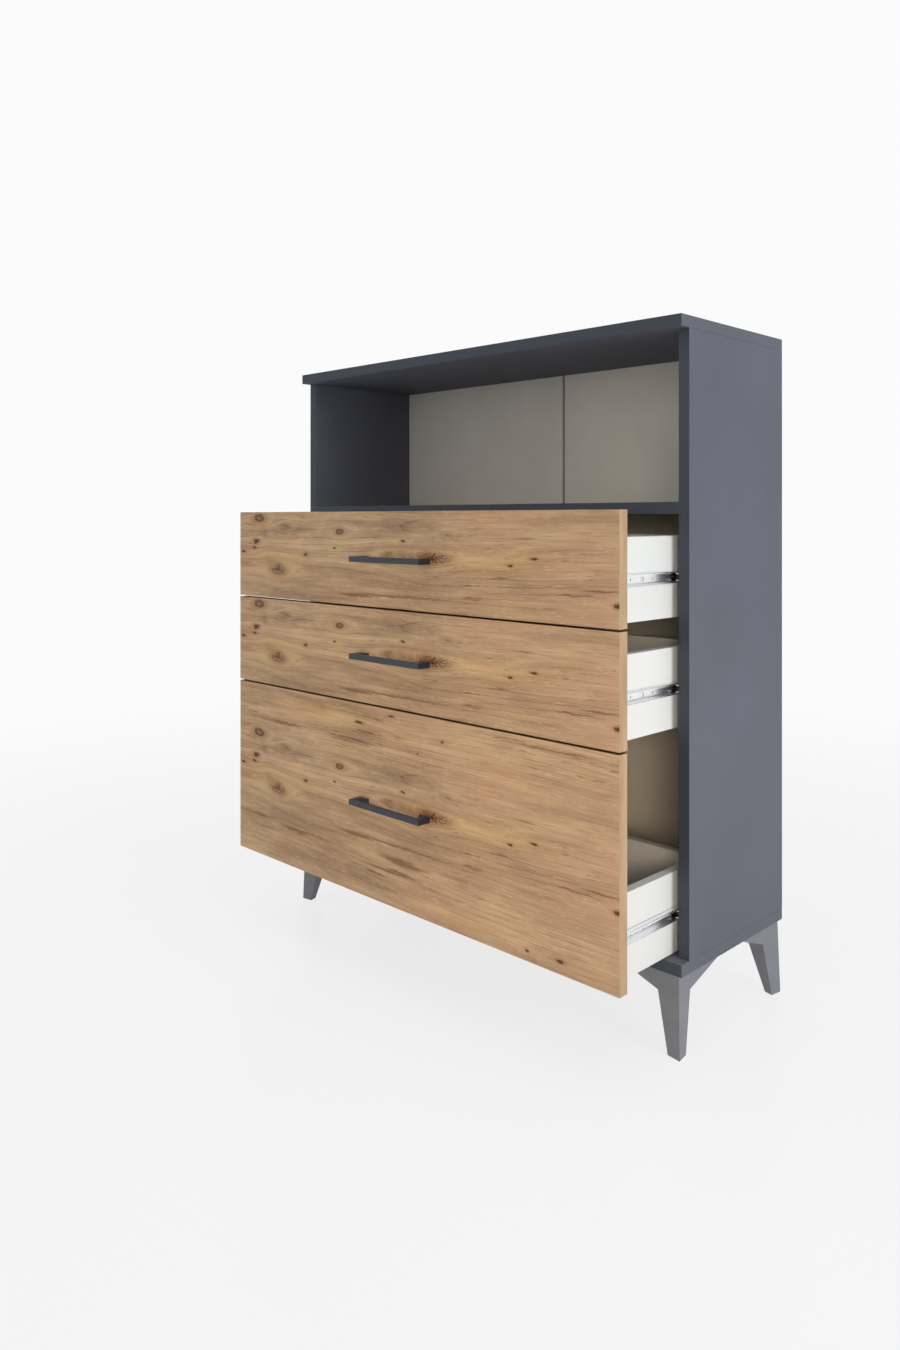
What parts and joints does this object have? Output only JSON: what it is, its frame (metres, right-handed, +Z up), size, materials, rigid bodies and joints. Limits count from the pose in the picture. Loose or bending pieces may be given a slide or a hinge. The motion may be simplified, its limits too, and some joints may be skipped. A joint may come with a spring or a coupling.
{
  "type": "chest of drawers",
  "caption": "Chest of drawers: an open niche over overlaid drawers on ball slides, with bar handles and splayed corner legs.",
  "frame": {"origin": "on the floor, at the middle of the box that holds the chest with its drawers open as pictured", "axes": "+X to the right as seen from the front, +Y to the back, +Z up; the drawers open towards -Y"},
  "size_m": [0.9, 0.4826, 1.0785],
  "materials": {
    "carcass_board": "anthracite melamine on chipboard, fine matt texture",
    "front_board": "knotty oak decor melamine, grain across the front",
    "drawer_board": "white melamine on chipboard, satin",
    "drawer_bottom": "white-faced hardboard, satin",
    "back_board": "grey-beige faced hardboard, matt",
    "joint_strip": "grey-beige extruded plastic",
    "leg_plastic": "anthracite moulded plastic, fine texture",
    "handle_metal": "anthracite satin powder coat",
    "slide_steel": "bright zinc-plated steel",
    "cage_steel": "dark steel ball cage with bright balls",
    "screw_steel": "zinc-plated steel"
  },
  "bodies": {
    "carcass": {"top_panel": "carcass_board", "bottom_panel": "carcass_board", "left_side_panel": "carcass_board", "right_side_panel": "carcass_board", "niche_shelf": "carcass_board", "back_panel_left": "back_board", "back_panel_right": "back_board", "back_joint_strip": "joint_strip", "leg_front_left": "leg_plastic", "leg_front_right": "leg_plastic", "leg_back_left": "leg_plastic", "leg_back_right": "leg_plastic", "top_left_rail": "slide_steel", "top_right_rail": "slide_steel", "middle_left_rail": "slide_steel", "middle_right_rail": "slide_steel", "bottom_left_rail": "slide_steel", "bottom_right_rail": "slide_steel"},
    "top_drawer": {"top_drawer_front": "front_board", "top_drawer_left_side": "drawer_board", "top_drawer_right_side": "drawer_board", "top_drawer_back": "drawer_board", "top_drawer_bottom": "drawer_bottom", "top_drawer_handle": "handle_metal", "top_drawer_screw_left": "screw_steel", "top_drawer_screw_right": "screw_steel", "top_drawer_left_channel": "slide_steel", "top_drawer_right_channel": "slide_steel"},
    "top_left_cage": {"top_left_ball_cage": "cage_steel"},
    "top_right_cage": {"top_right_ball_cage": "cage_steel"},
    "middle_drawer": {"middle_drawer_front": "front_board", "middle_drawer_left_side": "drawer_board", "middle_drawer_right_side": "drawer_board", "middle_drawer_back": "drawer_board", "middle_drawer_bottom": "drawer_bottom", "middle_drawer_handle": "handle_metal", "middle_drawer_screw_left": "screw_steel", "middle_drawer_screw_right": "screw_steel", "middle_drawer_left_channel": "slide_steel", "middle_drawer_right_channel": "slide_steel"},
    "middle_left_cage": {"middle_left_ball_cage": "cage_steel"},
    "middle_right_cage": {"middle_right_ball_cage": "cage_steel"},
    "bottom_drawer": {"bottom_drawer_front": "front_board", "bottom_drawer_left_side": "drawer_board", "bottom_drawer_right_side": "drawer_board", "bottom_drawer_back": "drawer_board", "bottom_drawer_bottom": "drawer_bottom", "bottom_drawer_handle": "handle_metal", "bottom_drawer_screw_left": "screw_steel", "bottom_drawer_screw_right": "screw_steel", "bottom_drawer_left_channel": "slide_steel", "bottom_drawer_right_channel": "slide_steel"},
    "bottom_left_cage": {"bottom_left_ball_cage": "cage_steel"},
    "bottom_right_cage": {"bottom_right_ball_cage": "cage_steel"}
  },
  "joints": [
    {"name": "top_drawer_slide", "type": "slide", "parent": "carcass", "child": "top_drawer", "axis": [0, -1, 0], "range_m": [-0.1506, 0.0369]},
    {"name": "top_left_cage_slide", "type": "slide", "parent": "carcass", "child": "top_left_cage", "axis": [0, -1, 0], "range_m": [-0.0753, 0.01845]},
    {"name": "top_right_cage_slide", "type": "slide", "parent": "carcass", "child": "top_right_cage", "axis": [0, -1, 0], "range_m": [-0.0753, 0.01845]},
    {"name": "middle_drawer_slide", "type": "slide", "parent": "carcass", "child": "middle_drawer", "axis": [0, -1, 0], "range_m": [-0.1506, 0.0369]},
    {"name": "middle_left_cage_slide", "type": "slide", "parent": "carcass", "child": "middle_left_cage", "axis": [0, -1, 0], "range_m": [-0.0753, 0.01845]},
    {"name": "middle_right_cage_slide", "type": "slide", "parent": "carcass", "child": "middle_right_cage", "axis": [0, -1, 0], "range_m": [-0.0753, 0.01845]},
    {"name": "bottom_drawer_slide", "type": "slide", "parent": "carcass", "child": "bottom_drawer", "axis": [0, -1, 0], "range_m": [-0.1506, 0.0369]},
    {"name": "bottom_left_cage_slide", "type": "slide", "parent": "carcass", "child": "bottom_left_cage", "axis": [0, -1, 0], "range_m": [-0.0753, 0.01845]},
    {"name": "bottom_right_cage_slide", "type": "slide", "parent": "carcass", "child": "bottom_right_cage", "axis": [0, -1, 0], "range_m": [-0.0753, 0.01845]}
  ],
  "couplings": [
    {"joint": "top_left_cage_slide", "follows": "top_drawer_slide", "ratio": 0.5},
    {"joint": "top_right_cage_slide", "follows": "top_drawer_slide", "ratio": 0.5},
    {"joint": "middle_left_cage_slide", "follows": "middle_drawer_slide", "ratio": 0.5},
    {"joint": "middle_right_cage_slide", "follows": "middle_drawer_slide", "ratio": 0.5},
    {"joint": "bottom_left_cage_slide", "follows": "bottom_drawer_slide", "ratio": 0.5},
    {"joint": "bottom_right_cage_slide", "follows": "bottom_drawer_slide", "ratio": 0.5}
  ]
}
